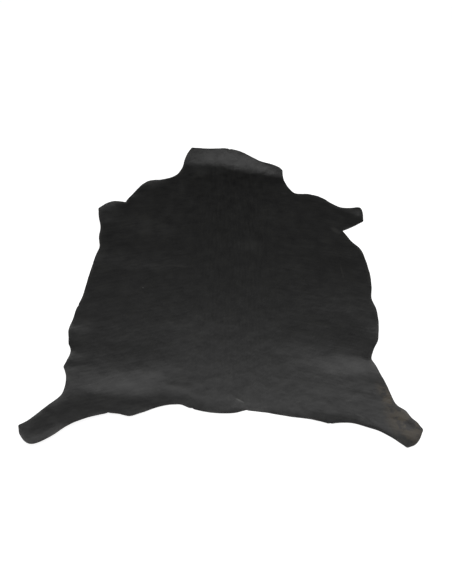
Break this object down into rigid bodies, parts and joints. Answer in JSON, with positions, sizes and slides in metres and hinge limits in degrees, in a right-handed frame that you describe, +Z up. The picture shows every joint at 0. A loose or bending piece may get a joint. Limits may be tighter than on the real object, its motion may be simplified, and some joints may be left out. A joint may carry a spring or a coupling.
{
  "type": "leather hide",
  "caption": "Whole black leather hide with neck, forelegs and hind legs, laid flat with low folds and a neck edge that curls up.",
  "frame": {"origin": "on the floor under the spine at the ribs, about halfway between the neck edge and the lower hind tip, on the hide's underside", "axes": "+Z up from the floor, +Y along the spine towards the neck, +X to the right of someone who stands at the rump and looks at the neck"},
  "size_m": [1.901, 2.177, 0.0689],
  "materials": {
    "leather": "soft satin"
  },
  "bodies": {
    "root": {"hide": "leather"}
  },
  "joints": []
}
